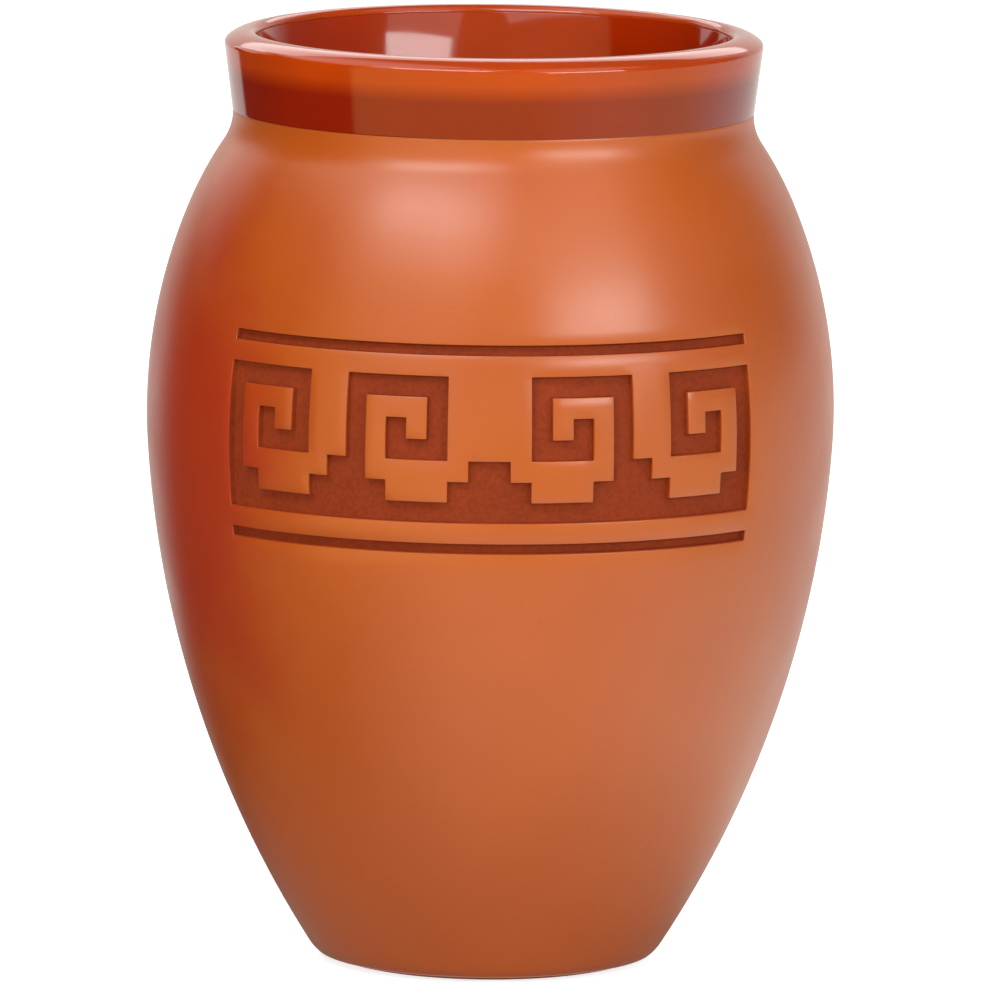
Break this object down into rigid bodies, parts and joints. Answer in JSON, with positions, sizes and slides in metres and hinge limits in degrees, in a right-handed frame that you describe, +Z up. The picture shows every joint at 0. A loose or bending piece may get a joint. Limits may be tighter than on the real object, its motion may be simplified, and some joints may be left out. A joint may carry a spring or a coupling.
{
  "type": "clay shot cup",
  "caption": "Small handleless earthenware shot cup with a narrow foot, full belly, drawn-in neck and short flared collar, satin outside, gloss glazed on the rim and inside.",
  "frame": {"origin": "centre of the foot, on the plane the cup stands on", "axes": "+Z up along the cup's axis of revolution, out of its mouth; X and Y level, the cup is the same all round"},
  "size_m": [0.05, 0.05, 0.0679],
  "materials": {
    "clay": "fired red earthenware, matte",
    "slip": "satin coloured slip",
    "rim_gloss": "gloss glaze",
    "liner_gloss": "gloss glaze"
  },
  "bodies": {
    "root": {"clay_body": "clay", "satin_slip": "slip", "rim_glaze": "rim_gloss", "liner_glaze": "liner_gloss"}
  },
  "joints": []
}
